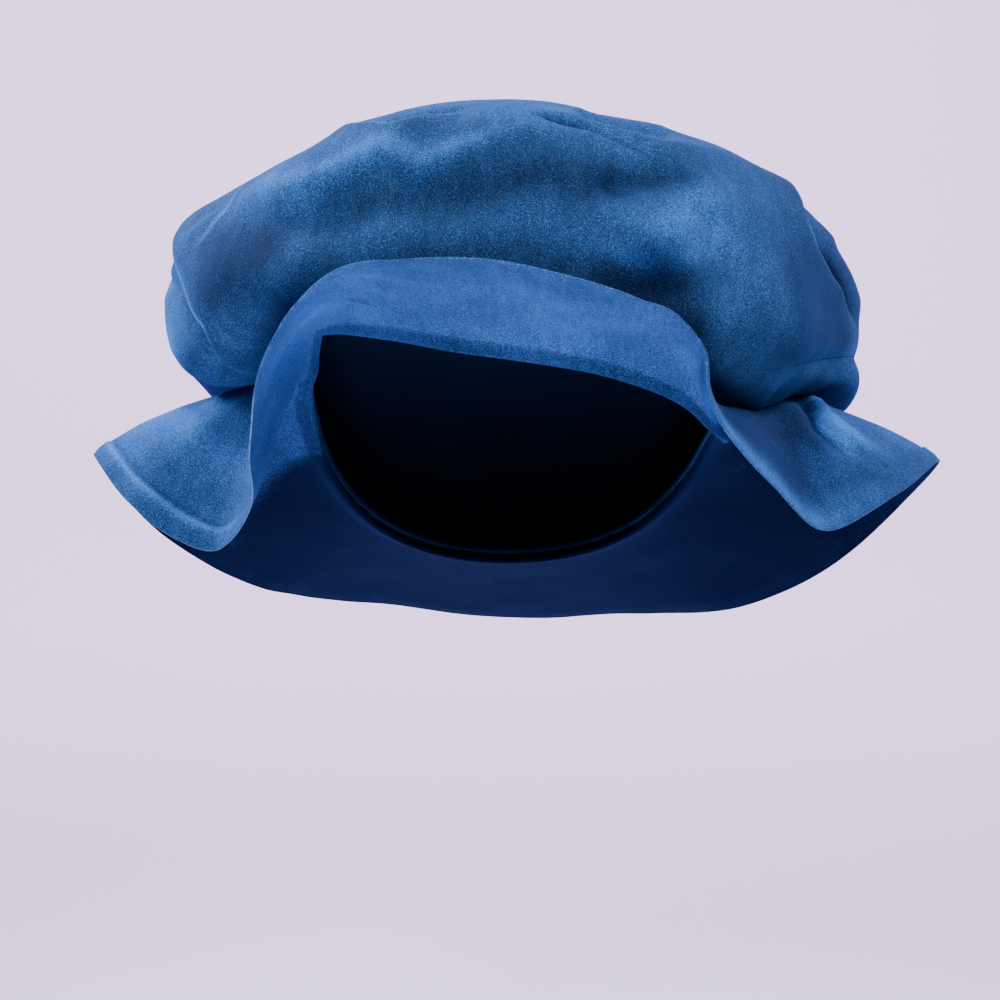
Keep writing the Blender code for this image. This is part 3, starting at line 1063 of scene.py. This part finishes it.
    def thinned(self, grid: np.ndarray) -> np.ndarray:
        """Keeps every few rows of a grid, with its ends: enough for the unseen inner side."""
        last = grid.shape[1] - 1
        return grid[:, sorted({*range(0, last, self.inner_step), 1, last - 1, last})]

    def top_piece(self, sheet: np.ndarray, away: np.ndarray, painted_shading: np.ndarray) -> bpy.types.Object:
        """Makes the round top piece.

        Args:
            sheet: the middle of its cloth, in mm, from the seam with the under piece.
            away: the unit normals, out of the crown.
            painted_shading: the light and shade painted on its pile.

        Returns:
            The piece, a closed mesh.
        """
        outer, inner, edge = self.sides(sheet, away, 0, 1)
        loops = np.concatenate([inner[:, ::-1], edge[:, ::-1], outer], 1)
        painted_lightness = np.zeros(loops.shape[:2])
        painted_lightness[:, -painted_shading.shape[1] :] = painted_shading
        wrong = np.zeros(loops.shape[1])
        wrong[: inner.shape[1] + self.edge_round // 2] = 1.0
        values = self.values(loops, painted_lightness, wrong)
        made = closed_mesh("crown_top_cloth", loops, values, capped=True)
        made.data.materials.append(Blues.CROWN.value.material())
        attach(made, "root")
        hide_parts("crown_top")
        return made

    def under_piece(self, sheet: np.ndarray, away: np.ndarray, painted_shading: np.ndarray) -> bpy.types.Object:
        """Makes the ring below the top piece.

        Args:
            sheet: the middle of its cloth, in mm, from the head seam.
            away: the unit normals, out of the crown.
            painted_shading: the light and shade painted on its pile.

        Returns:
            The piece, a closed mesh.
        """
        outer, inner, edge = self.sides(sheet, away, -1, -2)
        start = self.rounded(sheet[:, 0], away[:, 0], sheet[:, 0] - sheet[:, 1])
        loops = np.concatenate([outer, edge, inner[:, ::-1], start[:, ::-1]], 1)
        painted_lightness = np.zeros(loops.shape[:2])
        painted_lightness[:, : painted_shading.shape[1]] = painted_shading
        wrong = np.ones(loops.shape[1])
        wrong[: sheet.shape[1] + self.edge_round // 2] = 0.0
        made = closed_mesh("crown_under_cloth", loops, self.values(loops, painted_lightness, wrong))
        made.data.materials.append(Blues.UNDER.value.material())
        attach(made, "root")
        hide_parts("crown_under")
        return made

    def values(
        self, loops: np.ndarray, painted_lightness: np.ndarray, wrong: np.ndarray
    ) -> dict[str, np.ndarray]:
        """What the velvet needs to know of each point of a piece.

        Args:
            loops: the points in mm.
            painted_lightness: how much lighter the pile is painted at each point, as painted light
                and shade.
            wrong: 1 for each row on the wrong side of the cloth, 0 on its right side.

        Returns:
            The light and shade painted on its pile, the hem's painted highlight and rub (none on
            the crown), which way the pile lies, and which points are on the wrong side.
        """
        across, back, out = self.opening.axes()
        turned = np.arctan2(loops @ across, -(loops @ back))
        above = loops @ out
        # Painted shade: the crown a little darker low down, near the head seam
        painted_shading = painted_lightness - 0.08 * np.exp(-(((above - 8.0) / 16.0) ** 2))
        lay = np.stack([0.13 * np.cos(turned), 0.13 * np.sin(turned), 0.3 * above * MM], -1)
        inside = wrong[None, :] + 0.0 * above
        return {"painted_shading": painted_shading, "hem_highlight_and_rub": 0.0 * above, "lay": lay, "inside": inside}


@dataclass(frozen=True)
class Lamp:
    """An area light of the studio."""

    name: str
    place: tuple[float, float, float]
    aim: tuple[float, float, float]
    size: float
    watts: float
    colour: str
    spread_deg: float = 180.0
    wide: float = 1.0

    def build(self) -> None:
        """Adds the light, facing its aim."""
        data = bpy.data.lights.new(self.name, "AREA")
        data.shape = "ELLIPSE"
        data.size = self.size * self.wide
        data.size_y = self.size
        data.energy = self.watts
        data.color = linear(self.colour)[:3]
        data.spread = math.radians(self.spread_deg)
        made = bpy.data.objects.new(self.name, data)
        made.location = self.place
        ahead = Vector(self.aim) - Vector(self.place)
        made.rotation_euler = ahead.to_track_quat("-Z", "Y").to_euler()
        bpy.context.scene.collection.objects.link(made)


@dataclass
class Studio:
    """A pale sweep, soft lights, and the camera."""

    floor_z: float = -0.34
    floor_width: float = 7.0
    floor_depth: float = 5.0
    back_y: float = 1.9
    curve_steps: int = 8
    curve_step: float = 0.16
    backdrop_height: float = 3.0
    camera_place: tuple[float, float, float] = (-0.0054, -1.4815, 0.2347)
    camera_tilt_deg: float = 80.396
    camera_lens: float = 140.0
    air: float = 0.05
    lamps: tuple[Lamp, ...] = (
        Lamp("key", (-0.16, -0.52, 1.55), (0.0, 0.0, 0.03), 0.4, 3.9, "#fffaf4", 60.0),
        Lamp("front", (-0.5, -1.5, 1.3), (0.0, 0.0, 0.05), 0.5, 1.25, "#fbfaff", 40.0),
        Lamp("fill", (1.3, -1.1, 1.1), (0.0, 0.0, 0.0), 0.9, 0.35, "#f4f6ff", 70.0),
        Lamp("under", (-0.02, -0.86, -0.22), (0.0, -0.10, 0.11), 0.10, 0.58, "#fffdfb", 24.0, 5.0),
        Lamp("rim_left", (-1.1, 0.9, 0.8), (0.0, 0.0, 0.03), 0.5, 6.0, "#f2f4ff", 50.0),
        Lamp("rim_right", (1.2, 0.9, 0.7), (0.0, 0.0, 0.03), 0.5, 3.2, "#f2f4ff", 50.0),
        Lamp("backdrop_left", (-0.9, 0.8, 1.5), (-0.3, 2.4, 0.1), 1.2, 58.0, "#f4ebfc", 140.0),
        Lamp("backdrop_right", (0.9, 0.8, 1.5), (0.3, 2.4, 0.1), 1.2, 50.0, "#f4ebfc", 140.0),
    )

    def sweep(self) -> bpy.types.Object:
        """Makes the floor that curves up into the backdrop.

        Returns:
            The sweep.
        """
        bpy.ops.object.select_all(action="DESELECT")
        bpy.ops.mesh.primitive_plane_add(size=1.0, location=(0.0, 0.0, self.floor_z))
        floor = bpy.context.active_object
        floor.name = "studio_sweep"
        floor.scale = (self.floor_width, self.floor_depth, 1.0)
        floor.location.y = self.back_y - self.floor_depth / 2.0
        bpy.ops.object.transform_apply(location=True, rotation=True, scale=True)
        bpy.ops.object.mode_set(mode="EDIT")
        bpy.ops.mesh.select_all(action="DESELECT")
        bpy.ops.object.mode_set(mode="OBJECT")
        for edge in floor.data.edges:
            ends = [floor.data.vertices[v].co.y for v in edge.vertices]
            edge.select = min(ends) > self.back_y - 0.01
        bpy.ops.object.mode_set(mode="EDIT")
        bpy.ops.mesh.select_mode(type="EDGE")
        moves = []
        for turn in range(self.curve_steps):
            angle = math.radians((turn + 0.5) * 90.0 / self.curve_steps)
            step = self.curve_step
            moves.append((0.0, step * math.cos(angle), step * math.sin(angle)))
        moves.append((0.0, 0.0, self.backdrop_height))
        for move in moves:
            bpy.ops.mesh.extrude_region_move(TRANSFORM_OT_translate={"value": move})
        bpy.ops.object.mode_set(mode="OBJECT")
        bpy.ops.object.shade_smooth()
        floor.data.materials.append(self.paper())
        return floor

    def paper(self) -> bpy.types.Material:
        """Makes matt paper, pale lilac with a faint mottle: a soft, even ground for the eye.

        Returns:
            The material.
        """
        made = bpy.data.materials.new("background_paper")
        made.use_nodes = True
        tree = made.node_tree
        shader = tree.nodes["Principled BSDF"]
        place = add_node(tree, "ShaderNodeTexCoord")
        links = {"Vector": place.outputs["Object"]}
        mottle = add_node(tree, "ShaderNodeTexNoise", {"Scale": 1.4, "Detail": 3.0}, links)
        mixed = add_node(tree, "ShaderNodeMix", {"data_type": "RGBA"}, {0: mottle.outputs["Fac"]})
        mixed.inputs[6].default_value = linear("#dccce8")
        mixed.inputs[7].default_value = linear("#e2d2ee")
        tree.links.new(mixed.outputs[2], shader.inputs["Base Color"])
        shader.inputs["Roughness"].default_value = 0.95
        return made

    def camera(self) -> bpy.types.Object:
        """Adds the camera at the height and distance that show the cap's front.

        Returns:
            The camera.
        """
        data = bpy.data.cameras.new("front_camera")
        data.lens = self.camera_lens
        data.sensor_width = 36.0
        made = bpy.data.objects.new("front_camera", data)
        made.location = self.camera_place
        made.rotation_euler = Euler((math.radians(self.camera_tilt_deg), 0.0, 0.0))
        bpy.context.scene.collection.objects.link(made)
        bpy.context.scene.camera = made
        return made

    def build(self) -> None:
        """Adds the sweep, the lights, the world and the camera."""
        self.sweep()
        for lamp in self.lamps:
            lamp.build()
        world = bpy.data.worlds.new("studio_air")
        world.use_nodes = True
        background = world.node_tree.nodes["Background"]
        background.inputs["Color"].default_value = linear("#e8e4f0")
        background.inputs["Strength"].default_value = self.air
        bpy.context.scene.world = world
        self.camera()


def main() -> None:
    """Builds the cap and its studio, and reports each piece."""
    logging.basicConfig(level=logging.INFO, format="%(name)s: %(message)s")
    Studio().build()
    opening = Opening()
    brim = Brim(opening)
    pieces = [brim.build(), *Crown(opening, brim).build()]
    for piece in pieces:
        LOG.info("%s has %d faces", piece.name, len(piece.data.polygons))


if __name__ == "__main__":
    main()
